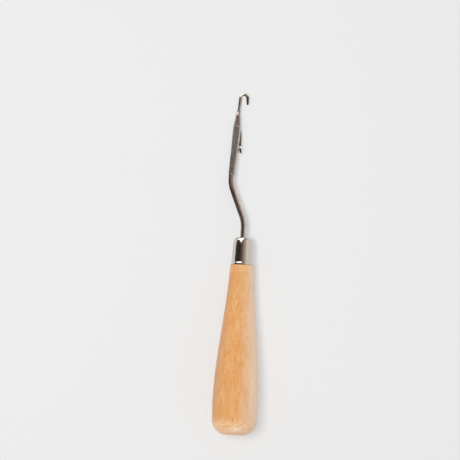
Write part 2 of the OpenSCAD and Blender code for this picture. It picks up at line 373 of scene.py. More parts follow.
def make_plating():
    material, nodes = new_material("bright_plating")
    place = tool_place(nodes)
    waves, specks = nodes.grain(place, *WAVE_CELLS), nodes.grain(place, *DULL_CELLS)
    colour = nodes.mix(specks.mask(*DULL_SPECKS), PLATING_TINT, PLATING_WORN)
    close_material(nodes, Base_Color=colour, Metallic=1.0, Roughness=specks.step(*PLATING_ROUGHNESS),
                   Normal=bump(nodes, waves + specks * SPECK_SHARE, WAVE_DEPTH))
    return material


plating = make_plating()
print("plating has", len(plating.node_tree.nodes), "nodes")

# %% [markdown]
# ## Steel
# The needle, the latch and the rivet are steel that was drawn, pressed and bent, and some of that shows. A
# few of their tints are painted light, told below.
# All three have patches of wear and fine marks from drawing the wire. So that these follow a bend,
# each mesh keeps where its points lay before it was bent, as an attribute that the material reads.

# %% What the steel pieces share
PATCH_CELLS, LINE_CELLS = (0.7, 1.5, 3.0, 0.6), (0.10, 5.0, 3.0)
PATCHES, LINES, LINE_COVER = (0.40, 0.66), (0.5, 0.8), 0.25
WORN_ROUGHER, MOTTLE_DEPTH = 0.1, 0.002 * MM
DARK_TINT, DARK_DULL = (0.25, 0.20, 0.165), (0.17, 0.135, 0.11)
ROLLED_TINT, ROLLED_DULL = (0.46, 0.41, 0.38), (0.34, 0.30, 0.275)


def start_steel(name):
    """A steel's nodes, where a point lay before it was bent, its patches of wear and its lines."""
    material, nodes = new_material(name)
    place = nodes.add("ShaderNodeAttribute", {"attribute_name": "unbent"}, out="Vector")
    worn, lines = nodes.grain(place, *PATCH_CELLS), nodes.grain(place, *LINE_CELLS)
    return material, nodes, place, worn.step(*PATCHES), lines.step(*LINES)


def close_steel(nodes, colour, worn, lines, roughness):
    colour = nodes.mix(lines * LINE_COVER, colour, DARK_TINT)
    close_material(nodes, Base_Color=colour, Metallic=1.0, Roughness=roughness + worn * WORN_ROUGHER,
                   Normal=bump(nodes, worn, MOTTLE_DEPTH))


# %% [markdown]
# ### The needle's steel
# No two stretches of the needle look alike. The round shank is bright, with a painted dark reflection
# down its left flank, and the elbow is rougher and painted brown, as a painted reflection. The blade's
# flats were pressed, which greyed and mottled them. Its back and the drawn stem are darker, and the
# hook's last leg is darker still. Places are in millimetres: along the rod from the elbow, and across
# it from its middle.

# %% Tints of the needle, and where each shows
STEEL_TINT, STEEL_DULL, DULL_COVER = (0.77, 0.705, 0.65), (0.56, 0.495, 0.45), 0.6
PRESSED_TINT, PRESSED_DULL = (0.62, 0.61, 0.585), (0.41, 0.40, 0.38)
# Painted dark reflection down the needle's left flank
FLANK_REFLECTION_TINT, FLANK_REFLECTION_COVER = (0.060, 0.050, 0.045), 0.9
# Painted reflection: the elbow's brown
ELBOW_REFLECTION_TINT = (0.55, 0.41, 0.345)
FLATS_LEVEL, FLATS_EDGE, FLATS_ALONG = (2.0, 4.2, 1.2, 0.75), (0.0, 0.2), (-4.0, 0.0)
SPINE_ACROSS, SPINE_ALONG = (-0.5, -1.0), (3.8, 5.5)
STEM_ALONG = ((35.0, 38.0), (41.5, 40.0))
LEG_ALONG = (44.0, 45.5)
FLANK_ACROSS, FLANK_ALONG = (-1.00, -1.25), (4.0, 1.0)
DULL_ALONG = ((-6.0, -1.5), (4.9, 4.5))
# Where the elbow's painted reflection shows
ELBOW_REFLECTION_ACROSS, ELBOW_REFLECTION_ALONG = (0.7, 0.1), ((-9.0, -3.0), (4.8, 4.5))
NEEDLE_ROUGHNESS, SPINE_ROUGHER, ELBOW_ROUGHER = 0.17, 0.2, 0.17


def make_needle_steel():
    material, nodes, place, worn, lines = start_steel("needle_steel")
    across, along, up = nodes.split(place / MM, "XYZ")
    bright = nodes.mix(worn * DULL_COVER, STEEL_TINT, STEEL_DULL)
    pressed = nodes.mix(worn, PRESSED_TINT, PRESSED_DULL)
    rolled = nodes.mix(worn, ROLLED_TINT, ROLLED_DULL)
    dark = nodes.mix(worn, DARK_TINT, DARK_DULL)
    flats = (abs(up) - along.step(*FLATS_LEVEL)).step(*FLATS_EDGE) * along.step(*FLATS_ALONG)
    spine = across.step(*SPINE_ACROSS) * along.step(*SPINE_ALONG)
    flank = across.step(*FLANK_ACROSS) * along.step(*FLANK_ALONG)
    elbow_reflection = across.step(*ELBOW_REFLECTION_ACROSS) * along.band(*ELBOW_REFLECTION_ALONG)
    elbow = along.band(*DULL_ALONG)
    # Painted reflection: the elbow is painted brown
    colour = nodes.mix(elbow_reflection, nodes.mix(flats, bright, pressed), ELBOW_REFLECTION_TINT)
    colour = nodes.mix(nodes.maths("MAXIMUM", spine, along.band(*STEM_ALONG)), colour, rolled)
    colour = nodes.mix(along.step(*LEG_ALONG), colour, dark)
    # Painted dark reflection: the left flank is darkened
    colour = nodes.mix(flank * FLANK_REFLECTION_COVER, colour, FLANK_REFLECTION_TINT)
    rougher = nodes.maths("MAXIMUM", spine * SPINE_ROUGHER, elbow * ELBOW_ROUGHER)
    close_steel(nodes, colour, worn, lines, NEEDLE_ROUGHNESS + rougher)
    return material


needle_steel = make_needle_steel()
print("needle steel has", len(needle_steel.node_tree.nodes), "nodes")

# %% [markdown]
# ### The latch's and the rivet's steel
# The latch is dark all over, except where its neck runs into the cup, which is painted near white and made
# rougher, as a painted highlight.
# The rivet's heads were peened, so they are plain and dull.

# %% Latch and rivet steel
# Painted highlight: a near-white tint and extra roughness where the neck runs into the cup
NECK_HIGHLIGHT_TINT, NECK_HIGHLIGHT_ALONG = (0.97, 0.95, 0.93), ((8.7, 9.0), (10.4, 9.9))
LATCH_ROUGHNESS, NECK_HIGHLIGHT_ROUGHER = 0.14, 0.40
RIVET_TINT, RIVET_ROUGHNESS = (0.54, 0.49, 0.45), 0.60


def make_latch_steel():
    material, nodes, place, worn, lines = start_steel("latch_steel")
    along, = nodes.split(place / MM, "X")
    # Painted highlight where the neck runs into the cup
    neck_highlight = along.band(*NECK_HIGHLIGHT_ALONG)
    colour = nodes.mix(neck_highlight, nodes.mix(worn, DARK_TINT, DARK_DULL), NECK_HIGHLIGHT_TINT)
    close_steel(nodes, colour, worn, lines, LATCH_ROUGHNESS + neck_highlight * NECK_HIGHLIGHT_ROUGHER)
    return material


def make_rivet_steel():
    material, nodes, place, worn, lines = start_steel("rivet_steel")
    close_steel(nodes, nodes.mix(worn, RIVET_TINT, ROLLED_TINT), worn, lines, RIVET_ROUGHNESS)
    return material


latch_steel, rivet_steel = make_latch_steel(), make_rivet_steel()
print("steels:", [material.name for material in (needle_steel, latch_steel, rivet_steel)])

# %% [markdown]
# ## Turning on a lathe
# The handle and the ferrule are both turned shapes, so each starts as an outline of radius and
# distance along the axis, which one full spin closes into a skin. A subdivided cylinder could be
# pushed into shape too, but the outline says at once how thick the piece is at each place.

# %% Spin an outline
SPIN_STEPS = 144
WELD = 0.0002 * MM


def turned(outline, steps=SPIN_STEPS):
    """A bmesh spun once around +Y from (radius, distance) points in millimetres."""
    bm = bmesh.new()
    points = [bm.verts.new((radius * MM, along * MM, 0)) for radius, along in outline]
    lines = [bm.edges.new(pair) for pair in zip(points, points[1:])]
    bmesh.ops.spin(bm, geom=points + lines, cent=(0, 0, 0), axis=(0, 1, 0), dvec=(0, 0, 0),
                   angle=math.tau, steps=steps, use_merge=True)
    bmesh.ops.remove_doubles(bm, verts=bm.verts, dist=WELD)
    bmesh.ops.recalc_face_normals(bm, faces=bm.faces)
    return bm


# %% [markdown]
# A finished mesh is laid down where its solid is, so its object can stay at the origin. It is counted
# on the way: an edge with only one face, or with three, would be a hole or a stray wall.

# %% Turn a bmesh into a piece
SOFT_UP_TO = 32


def make_piece(bm, name, material, body, node, place=LAY_DOWN, sharp_from=SOFT_UP_TO):
    """Lays a bmesh down in its place and makes it a piece that stands for a solid."""
    bmesh.ops.transform(bm, matrix=place, verts=bm.verts)
    open_edges = sum(1 for edge in bm.edges if not edge.is_manifold)
    mesh = bpy.data.meshes.new(name)
    bm.to_mesh(mesh)
    bm.free()
    mesh.shade_smooth()
    mesh.set_sharp_from_angle(angle=math.radians(sharp_from))
    mesh.materials.append(material)
    piece = bpy.data.objects.new(name, mesh)
    bpy.context.scene.collection.objects.link(piece)
    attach(piece, body)
    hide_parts(node)
    print(name, "has", len(mesh.polygons), "faces and", open_edges, "open edges, and rides on", body)


def note_unbent(bm):
    """Keeps where each point is before the mesh is laid down, for patterns that follow the piece."""
    layer = bm.verts.layers.float_vector.get("unbent") or bm.verts.layers.float_vector.new("unbent")
    for vert in bm.verts:
        vert[layer] = vert.co


# %% [markdown]
# ## The handle
# From the butt: a small flat with the dimple that the lathe's centre left, a quarter-round, a belly
# that is fullest 15 mm up, and a long neck that narrows to the ferrule. Just below the ferrule the
# chisel left four faint rings. The tenon and the bore for the tang are hidden, but they are part of
# the piece, so the outline runs on through them.

# %% Handle
HANDLE_LENGTH = 79.1
BELLY_AT, BELLY_RADIUS = 15.0, 10.67
NECK_RADIUS, NECK_FLARE = 5.59, 0.38
BUTT_FLAT_RADIUS, BUTT_ROUNDING = 3.5, 6.978
BUTT_INSET = 0.012
DIMPLE = [(0, 0.7), (0.35, 0.35), (0.75, 0.12), (1.05, 0.03), (1.3, BUTT_INSET)]
CHISEL_RINGS = ((78.3, 0.040), (77.5, 0.034), (76.7, 0.030), (75.9, 0.022))
CHISEL_RING_WIDTH = 0.18
QUARTER_STEPS = 18
LONG_STATIONS, RING_STATIONS = (1.2, range(1, 57)), (75.0, 0.08, range(48))
SHOULDER_EDGE = ((0.03, 0.12), (0.09, 0.05), (0.18, 0.0))
TENON_LENGTH, TENON_RADIUS, TENON_TAPER = 11.3, 4.55, 0.45
TANG_LENGTH, SHANK_RADIUS = 36.0, 1.55


def handle_radius(along):
    if along < BELLY_AT:
        swell = ease((along - BUTT_ROUNDING) / (BELLY_AT - BUTT_ROUNDING))
        return between(swell, BUTT_FLAT_RADIUS + BUTT_ROUNDING, BELLY_RADIUS)
    t = (HANDLE_LENGTH - along) / (HANDLE_LENGTH - BELLY_AT)
    swell = ease(t) + NECK_FLARE * t * (1 - t) ** 2
    rings = sum(depth * math.exp(-((along - at) / CHISEL_RING_WIDTH) ** 2) for at, depth in CHISEL_RINGS)
    return between(swell, NECK_RADIUS, BELLY_RADIUS) - rings


def handle_outline():
    angles = [math.radians(90 * i / QUARTER_STEPS) for i in range(1, QUARTER_STEPS + 1)]
    quarter = [(BUTT_FLAT_RADIUS + BUTT_ROUNDING * math.sin(a),
                BUTT_INSET + BUTT_ROUNDING * (1 - math.cos(a))) for a in angles]
    butt_sheen = DIMPLE + [(BUTT_FLAT_RADIUS, BUTT_INSET)] + quarter
    side = [(handle_radius(s), s)
            for s in stations(BUTT_ROUNDING, *LONG_STATIONS) + stations(*RING_STATIONS)]
    shoulder = [(NECK_RADIUS - inwards, HANDLE_LENGTH - below) for inwards, below in SHOULDER_EDGE]
    tenon_end, tang_bottom = HANDLE_LENGTH + TENON_LENGTH, HANDLE_LENGTH - TANG_LENGTH
    tenon = [(TENON_RADIUS, HANDLE_LENGTH), (TENON_RADIUS - TENON_TAPER, tenon_end)]
    bore = [(SHANK_RADIUS, tenon_end), (SHANK_RADIUS, tang_bottom), (0, tang_bottom)]
    return butt_sheen + side + shoulder + tenon + bore


make_piece(turned(handle_outline()), "handle_turned", wood, "tool", "handle")

# %% [markdown]
# ## The ferrule
# A thin cap, drawn from sheet and pressed over the tenon. Its mouth is rolled outwards into a small
# lip, the wall leans in a little, and the closed end turns over a soft shoulder to the hole for the
# shank. The outline goes up the outside and back down the inside, so the sheet has its real
# thickness at the rim of the hole, where it shows.

# %% Ferrule
FERRULE_LENGTH = 12.8
FERRULE_WALL = 0.5
FERRULE_SHOULDER = 1.3
FERRULE_TOP_RADIUS = 4.65
LIP_OUTLINE = ((5.06, 0.0), (5.17, 0.06), (5.235, 0.14), (5.28, 0.24), (5.315, 0.36), (5.337, 0.47),
               (5.345, 0.58), (5.338, 0.70), (5.312, 0.84), (5.27, 1.00), (5.22, 1.19), (5.175, 1.42),
               (5.14, 1.75), (5.12, 2.2))
SOFTENING, SOFT_LENGTH = 0.2, 3.0
WALL_STEPS, OVER_STEPS = 12, 14
FERRULE_HOLE, HOLE_EDGE = 1.62, ((0.12, 0.0), (0.03, 0.04), (0.0, 0.12))
INSIDE_ROUNDING, INSIDE_CORNER = 1.5, 2.5
TENON_GAP, MOUTH_GAP, MOUTH_DEPTH = 0.02, 0.15, 0.4
FERRULE_SOFT_UP_TO = 50


def ferrule_wall():
    """The leaning wall, which curves in a little more towards its end."""
    wall_end = FERRULE_LENGTH - FERRULE_SHOULDER
    first_radius, first_at = LIP_OUTLINE[-1]
    points = [(between(t, first_radius, FERRULE_TOP_RADIUS), between(t, first_at, wall_end))
              for t in (i / WALL_STEPS for i in range(1, WALL_STEPS + 1))]
    return [(radius - SOFTENING * max(0.0, (at - wall_end) / SOFT_LENGTH + 1) ** 2, at)
            for radius, at in points]


def ferrule_shoulder(wall):
    """The arc over the end. It starts with the wall's last tilt, so no kink breaks the reflection."""
    (radius, at), (last_radius, last_at) = wall[-2:]
    tilt = math.atan((radius - last_radius) / (last_at - at))
    wall_end = FERRULE_LENGTH - FERRULE_SHOULDER
    return [(last_radius - FERRULE_SHOULDER * (math.cos(tilt) - math.cos(a)),
             wall_end + FERRULE_SHOULDER * (math.sin(a) - math.sin(tilt)) / (1 - math.sin(tilt)))
            for a in (between(i / OVER_STEPS, tilt, math.pi / 2) for i in range(1, OVER_STEPS + 1))]


def ferrule_outline():
    wall = ferrule_wall()
    rim = [(FERRULE_HOLE + outwards, FERRULE_LENGTH - below) for outwards, below in HOLE_EDGE]
    inside = [(FERRULE_HOLE, FERRULE_LENGTH - FERRULE_WALL),
              (FERRULE_TOP_RADIUS - INSIDE_ROUNDING, FERRULE_LENGTH - FERRULE_WALL),
              (FERRULE_TOP_RADIUS - FERRULE_WALL, FERRULE_LENGTH - INSIDE_CORNER * FERRULE_WALL),
              (TENON_RADIUS + TENON_GAP, MOUTH_DEPTH), (TENON_RADIUS + MOUTH_GAP, 0.0)]
    outline = [*LIP_OUTLINE, *wall, *ferrule_shoulder(wall), *rim, *inside, LIP_OUTLINE[0]]
    return [(radius, HANDLE_LENGTH + at) for radius, at in outline]


make_piece(turned(ferrule_outline()), "ferrule_cap", plating, "tool", "ferrule",
           sharp_from=FERRULE_SOFT_UP_TO)

# %% [markdown]
# ## The needle
# One steel rod: a tang inside the handle, a shank with two bends, a blade that was pressed flat and
# sawn for the latch, and a stem drawn out thin and bent into the hook. It is grown like the real one,
# as a single tube: a rim is extruded again and again along the path, and each new ring takes the
# shape of the rod at that place. A stack of separate cylinders would show seams at every bend.
#
# Every ring has the same points, so they can be followed from end to end: most go round the rod, and
# a few sit between the lips of the slot, where they sink to its floor along the blade.

# %% The shape of one ring
RING_STEP = math.radians(7)
SLOT_HALF = 0.45
SAW_RADIUS = 20.0
SAW_AT, SAW_DEPTH = 27.2, 0.85
LIP_STEPS, BACK_STEPS = 11, 24
STEEPEST_LIP = 0.6
CREST_SHARE, CREST_STEP = 0.85, 0.25
BED_SEATS, BED_CLOSED, BED_OPENS = (-1, -0.33, 0.33, 1), 0.7, 0.05


def ring_points(half_width, half_height, lip, floor):
    """(across, up) places around the rod: two half rounds pulled apart, with the slot at +X."""
    pull = max(0.0, half_width - half_height)
    lip_angle = math.asin(min(STEEPEST_LIP, lip / half_height))
    quarter = math.pi / 2
    inner = pull * CREST_SHARE + CREST_STEP * RING_STEP * half_height
    right = [(pull + half_height * math.cos(a), half_height * math.sin(a))
             for a in (between(i / LIP_STEPS, lip_angle, quarter - RING_STEP / 2)
                       for i in range(LIP_STEPS + 1))]
    left = [(-pull - half_height * math.cos(a), half_height * math.sin(a))
            for a in (between(i / BACK_STEPS, quarter - RING_STEP / 2, RING_STEP / 2 - quarter)
                      for i in range(BACK_STEPS + 1))]
    lip_round = half_height * math.cos(lip_angle) + pull
    opened = min(1.0, max(0.0, (lip_round - floor) / BED_OPENS))
    bed = []
    for share in BED_SEATS:
        height = share * half_height * math.sin(lip_angle) * between(opened, BED_CLOSED, 1.0)
        outside = pull + math.sqrt(half_height ** 2 - height ** 2)
        bed.append((min(floor, outside), height))
    return (right + [(inner, half_height)] + [(-inner, half_height)] + left
            + [(-inner, -half_height), (inner, -half_height)]
            + [(x, -z) for x, z in reversed(right)] + bed)


print("each ring has", len(ring_points(SHANK_RADIUS, SHANK_RADIUS, SLOT_HALF, SAW_RADIUS)), "points")

# %% [markdown]
# The tube starts as a circle, whose points are moved to the first ring. Each growth step extrudes the
# open rim and moves the new points. A number stored on each point, its seat in the ring, is copied by
# the extrusion, so every new point knows its place.

# %% Grow a tube ring by ring
class Rod:
    """A closed tube that is grown along a path."""

    def __init__(self, place, along, points):
        self.bm = bmesh.new()
        self.seat = self.bm.verts.layers.int.new("seat")
        self.unbent = self.bm.verts.layers.float_vector.new("unbent")
        start = bmesh.ops.create_circle(self.bm, cap_ends=False, segments=len(points), radius=MM)
        for number, vert in enumerate(start["verts"]):
            vert[self.seat] = number
        self.rim = list(self.bm.edges)
        self.put(start["verts"], place, along, points)
        bmesh.ops.contextual_create(self.bm, geom=self.rim)

    def put(self, verts, place, along, points):
        for vert in verts:
            across, up = points[vert[self.seat]]
            vert.co = place @ Vector((across * MM, 0, up * MM))
            vert[self.unbent] = Vector((across * MM, along * MM, up * MM))

    def grow(self, place, along, points):
        grown = bmesh.ops.extrude_edge_only(self.bm, edges=self.rim)["geom"]
        verts = {item for item in grown if isinstance(item, bmesh.types.BMVert)}
        self.rim = [item for item in grown if isinstance(item, bmesh.types.BMEdge)
                    and verts.issuperset(item.verts)]
        self.put(verts, place, along, points)

    def close(self):
        bmesh.ops.contextual_create(self.bm, geom=self.rim)
        bmesh.ops.remove_doubles(self.bm, verts=self.bm.verts, dist=WELD)
        bmesh.ops.recalc_face_normals(self.bm, faces=self.bm.faces)
        return self.bm


# %% [markdown]
# ### The path
# Bends are turns of a matrix about their centre. The shank goes up the handle's axis, turns 22
# degrees to the left, runs slanted, and turns back a little further, which leaves the blade leaning
# to the hook's open side.

# %% Stations from the tang to the elbow
FIRST_BEND_AT, ELBOW_AT, ELBOW_OFFSET = 99.6, 117.1, 7.07
BEND_RADIUS, HEAD_LEAN = 15.0, math.radians(3.24)
FIRST_TURN = math.atan2(ELBOW_OFFSET, ELBOW_AT - FIRST_BEND_AT)
ELBOW_TURN = FIRST_TURN + HEAD_LEAN
BEND_STEPS, RUN_STEPS = 14, 5
TANG_POINT = 0.6
TANG_STATIONS = (70, 85)


def at(x, y, turn=0.0):
    """A matrix that moves to x, y in millimetres and turns about Z."""
    return Matrix.Translation((x * MM, y * MM, 0)) @ Matrix.Rotation(turn, 4, "Z")


def bend(start, radius, turn, steps):
    """Places along a bend: a positive turn goes left, a negative one right."""
    side = -radius if turn > 0 else radius
    return [start @ at(side, 0, turn * i / steps) @ at(-side, 0) for i in range(1, steps + 1)]


HEAD = at(-ELBOW_OFFSET, ELBOW_AT, -HEAD_LEAN)
first_tangent = BEND_RADIUS * math.tan(FIRST_TURN / 2)
elbow_tangent = BEND_RADIUS * math.tan(ELBOW_TURN / 2)
slanted = math.hypot(ELBOW_OFFSET, ELBOW_AT - FIRST_BEND_AT)
print("the shank turns by", round(math.degrees(FIRST_TURN), 1), "and back by",
      round(math.degrees(ELBOW_TURN), 1), "degrees")


def shank_places():
    tang = HANDLE_LENGTH - TANG_LENGTH
    straight = (tang + TANG_POINT, *TANG_STATIONS, FIRST_BEND_AT - first_tangent)
    places = [at(0, along) for along in straight]
    places += bend(places[-1], BEND_RADIUS, FIRST_TURN, BEND_STEPS)
    run = slanted - first_tangent - elbow_tangent
    places += [places[-1] @ at(0, run * i / RUN_STEPS) for i in range(1, RUN_STEPS + 1)]
    return places + bend(places[-1], BEND_RADIUS, -ELBOW_TURN, BEND_STEPS)


# %% [markdown]
# ### The blade
# The press starts abruptly just past the elbow, which leaves a small slope that catches the light.
# From there the blade grows wider and thinner up to the rivet. Beyond it the flats slope down and run
# out in the round stem. The slot's floor is an arc, because a round saw cut it.

# %% Stations along the blade
ROOT_AT, ROOT_WIDTH, ROOT_HEIGHT, ROOT_SWELL = 4.4, 1.70, 1.30, 1.4
BLADE_WIDTH, BLADE_HEIGHT = 1.895, 0.995
WIDEST_AT, THINNING, TAPER_END = 25.2, 20.3, 37.5
PRESS_EDGE_AT, PRESS_EDGE_LENGTH = 4.25, 0.22
RUNOUT_AT, RUNOUT_END = 31.8, 34.3
STEM_RADIUS, WIRE_RADIUS, HOOK_AT = 0.73, 0.696, 40.5
SLOT_FROM, SLOT_TO, SLOT_FADE, ROUND_LIP = 14, 36.2, 1.5, 0.3
ROOT_STATIONS, BLADE_STATIONS = (0.1, range(1, 20)), (6.0, 1.0, range(11))
SLOT_STATIONS, STEM_STATIONS = (16.4, 0.2, range(109)), (39.0, 39.8, HOOK_AT)


def blade_half_width(a):
    if a < WIDEST_AT:
        root = between(ease((a - elbow_tangent) / ROOT_SWELL), SHANK_RADIUS, ROOT_WIDTH)
        return root + (BLADE_WIDTH - ROOT_WIDTH) * ease((a - ROOT_AT) / (WIDEST_AT - ROOT_AT))
    if a < TAPER_END:
        return between(ease((a - WIDEST_AT) / (TAPER_END - WIDEST_AT)), BLADE_WIDTH, STEM_RADIUS)
    return between((a - TAPER_END) / (HOOK_AT - TAPER_END), STEM_RADIUS, WIRE_RADIUS)


def blade_half_height(a):
    pressed = between(ease((a - PRESS_EDGE_AT) / PRESS_EDGE_LENGTH), SHANK_RADIUS, ROOT_HEIGHT)
    thinned = pressed + (BLADE_HEIGHT - ROOT_HEIGHT) * min(1.0, max(0.0, (a - ROOT_AT) / THINNING))
    runout = between(ease((a - RUNOUT_AT) / (RUNOUT_END - RUNOUT_AT)), thinned, STEM_RADIUS)
    return min(runout, blade_half_width(a))


def slot_floor(a):
    reach = SAW_RADIUS ** 2 - (a - SAW_AT) ** 2
    return SAW_RADIUS - SAW_DEPTH - math.sqrt(reach) if reach > 0 else SAW_RADIUS


def blade_points(a):
    height = blade_half_height(a)
    inside_slot = ease((a - SLOT_FROM) / SLOT_FADE) * (1 - ease((a - SLOT_TO) / SLOT_FADE))
    lip = between(inside_slot, ROUND_LIP * height, SLOT_HALF)
    return ring_points(blade_half_width(a), height, lip, slot_floor(a))


blade_stations = [*stations(elbow_tangent, *ROOT_STATIONS), *stations(*BLADE_STATIONS),
                  *stations(*SLOT_STATIONS), *STEM_STATIONS]
print("the blade has", len(blade_stations), "rings and is", 2 * BLADE_WIDTH, "mm wide")

# %% [markdown]
# ### The hook
# The wire turns back by 175 degrees, so the last leg opens outwards a little, gets thinner and ends
# in a half ball.

# %% Grow the needle from the tang to the tip
HOOK_RADIUS, HOOK_TURN, HOOK_STEPS = 1.7, math.radians(175), 28
TIP_LEG, TIP_RADIUS, LEG_STEPS = 2.6, 0.5, 8
TIP_DOME = (15, 30, 45, 60, 73, 84)
TANG_TIP = 0.7


def round_points(radius):
    return ring_points(radius, radius, ROUND_LIP * radius, SAW_RADIUS)


def grow_shank():
    """The tang and the shank. Distances count from the elbow, so they are negative here."""
    places = [at(0, HANDLE_LENGTH - TANG_LENGTH)] + shank_places()
    lengths = [(place.translation - last.translation).length / MM
               for last, place in zip(places, places[1:])]
    along = elbow_tangent - sum(lengths)
    rod = Rod(places[0], along, round_points(SHANK_RADIUS * TANG_TIP))
    for place, length in zip(places[1:], lengths):
        along += length
        rod.grow(place, along, round_points(SHANK_RADIUS))
    return rod


def grow_hook(rod):
    places = bend(HEAD @ at(0, HOOK_AT), HOOK_RADIUS, -HOOK_TURN, HOOK_STEPS)
    for i, place in enumerate(places, 1):
        along = HOOK_AT + HOOK_RADIUS * HOOK_TURN * i / HOOK_STEPS
        rod.grow(place, along, round_points(WIRE_RADIUS))
    for i in range(1, LEG_STEPS + 1):
        leg = TIP_LEG * i / LEG_STEPS
        radius = between(i / LEG_STEPS, WIRE_RADIUS, TIP_RADIUS)
        rod.grow(place @ at(0, leg), along + leg, round_points(radius))
    for a in (math.radians(degrees) for degrees in TIP_DOME):
        leg = TIP_LEG + TIP_RADIUS * math.sin(a)
        rod.grow(place @ at(0, leg), along + leg, round_points(TIP_RADIUS * math.cos(a)))


def make_needle():
    rod = grow_shank()
    for a in blade_stations:
        rod.grow(HEAD @ at(0, a), a, blade_points(a))
    grow_hook(rod)
    return rod.close()


make_piece(make_needle(), "needle_rod", needle_steel, "tool", "needle")

# %% [markdown]
# ## The latch
# A flat arm with an eye round the rivet, a narrow neck, and a cup that closes over the hook's tip. It
# was stamped and its end struck into a small trough with round ends. Here the arm is an outline,
# pulled up to its thickness and bevelled. The cup starts as half a section of its wall, rounded rim
# and all, which is spun into a round bowl. Its two halves are then pulled apart, and the faces between
# them stretch into the trough's straight sides. Booleans join it to the arm and cut the eye: for
# shapes that cross at an angle that is surer than stitching their faces by hand.

# %% Booleans that leave a plain mesh
PIVOT_AT, PIVOT_OFFSET = 26.7, 0.45
LATCH_REST = math.radians(10.8)
LATCH_HALF = 0.4
EYE_RADIUS, EYE_HOLE = 1.2, 0.6
PIVOT = HEAD @ at(PIVOT_OFFSET, PIVOT_AT)


def as_object(bm, name):
    mesh = bpy.data.meshes.new(name)
    bm.to_mesh(mesh)
    bm.free()
    item = bpy.data.objects.new(name, mesh)
    bpy.context.scene.collection.objects.link(item)
    return item


def combine(item, other, operation):
    """Applies one boolean and removes the other object."""
    step = item.modifiers.new(operation, "BOOLEAN")
    step.operation, step.solver, step.object = operation, "EXACT", other
    bpy.context.view_layer.update()
    result = bpy.data.meshes.new_from_object(item.evaluated_get(bpy.context.evaluated_depsgraph_get()))
    item.modifiers.clear()
    item.data = result
    bpy.data.objects.remove(other)


# %% The latch's arm
NECK_AT, NECK_FRONT, NECK_BACK = 8.9, 0.57, 0.35
ARM_FULL_AT, ARM_END, ARM_UNDER_RIM = 4.0, 10.1, 0.05
ARM_BEVEL, EYE_STEPS = 0.07, 24
CUP_RIM = 0.445


def latch_arm():
    bm = bmesh.new()
    eye = [(EYE_RADIUS * math.cos(a), EYE_RADIUS * math.sin(a))
           for a in (math.radians(90 + 180 * i / EYE_STEPS) for i in range(EYE_STEPS + 1))]
    front = [(ARM_END, CUP_RIM - ARM_UNDER_RIM), (NECK_AT, NECK_FRONT), (ARM_FULL_AT, EYE_RADIUS)]
    outline = eye + [(NECK_AT, -NECK_BACK), (ARM_END, -NECK_BACK)] + front
    points = [bm.verts.new((x * MM, y * MM, -LATCH_HALF * MM)) for x, y in outline]
    grown = bmesh.ops.extrude_face_region(bm, geom=[bm.faces.new(points)])["geom"]
    top = [item for item in grown if isinstance(item, bmesh.types.BMVert)]
    bmesh.ops.translate(bm, vec=(0, 0, 2 * LATCH_HALF * MM), verts=top)
    bmesh.ops.recalc_face_normals(bm, faces=bm.faces)
    rims = [edge for edge in bm.edges if abs(edge.verts[0].co.z - edge.verts[1].co.z) < WELD]
    bmesh.ops.bevel(bm, geom=rims, offset=ARM_BEVEL * MM, offset_type="OFFSET", segments=2, profile=0.5,
                    affect="EDGES", material=-1)
    return as_object(bm, "arm")


# %% The latch's cup
CUP_AT, CUP_LENGTH, CUP_RISE, CUP_RADIUS, CUP_WALL = 11.45, 1.35, 0.6, 1.045, 0.25
CUP_STEPS, CUP_SIDE_STEPS, CORNER_STEPS, HOLLOW_STEPS = 70, 16, 4, 28
RIM_ROUNDING = 0.06
CUP_MIDDLE = 0.02


def trough(outline):
    """Turns an outline about +Y, then pulls its two halves apart and moves it to the arm's end."""
    bm = turned(outline, CUP_STEPS)
    bmesh.ops.translate(bm, vec=(CUP_LENGTH * MM, 0, 0), verts=[vert for vert in bm.verts if vert.co.x > 0])
    bmesh.ops.translate(bm, vec=((CUP_AT - CUP_LENGTH) * MM, CUP_RISE * MM, 0), verts=bm.verts)
    bmesh.ops.holes_fill(bm, edges=bm.edges, sides=0)
    bmesh.ops.recalc_face_normals(bm, faces=bm.faces)
    return bm


def arc(radius, first, last, steps, centre=(0, 0)):
    """(radius, distance) points of an arc between two angles in radians."""
    angles = [between(i / steps, first, last) for i in range(steps + 1)]
    return [(centre[0] + radius * math.cos(a), centre[1] + radius * math.sin(a)) for a in angles]


def wall_side(radius, rounding_out):
    """One face of the cup's wall, from its middle to the flat of the rim. The corner is rounded."""
    rim = CUP_RIM - CUP_RISE
    edge = math.sqrt(radius ** 2 - rim ** 2)
    side = arc(radius, -math.acos(CUP_MIDDLE / radius), math.asin((rim - RIM_ROUNDING) / radius),
               CUP_SIDE_STEPS)
    turn = (0, math.pi / 2) if rounding_out else (math.pi, math.pi / 2)
    shift = -RIM_ROUNDING if rounding_out else RIM_ROUNDING
    corner = arc(RIM_ROUNDING, *turn, CORNER_STEPS, (edge + shift, rim - RIM_ROUNDING))
    return side + corner[1:]


def latch_cup():
    outside, inside = wall_side(CUP_RADIUS, True), wall_side(CUP_RADIUS - CUP_WALL, False)
    return as_object(trough(outside + inside[::-1]), "cup")


def cup_hollow():
    """A closed capsule that ends inside the cup's wall. It cuts the arm off there."""
    radius = CUP_RADIUS - CUP_WALL / 2
    steepest = math.acos(CUP_MIDDLE / radius)
    return as_object(trough(arc(radius, -steepest, steepest, HOLLOW_STEPS)), "hollow")


# %% [markdown]
# Put together, the latch is drawn along +X from the rivet. One turn about the rivet opens it to where
# it rests, and the matrices of the blade and of the whole tool then carry it to its place.

# %% Join the latch
EYE_SEGMENTS = 64
LATCH_SOFT_UP_TO = 38


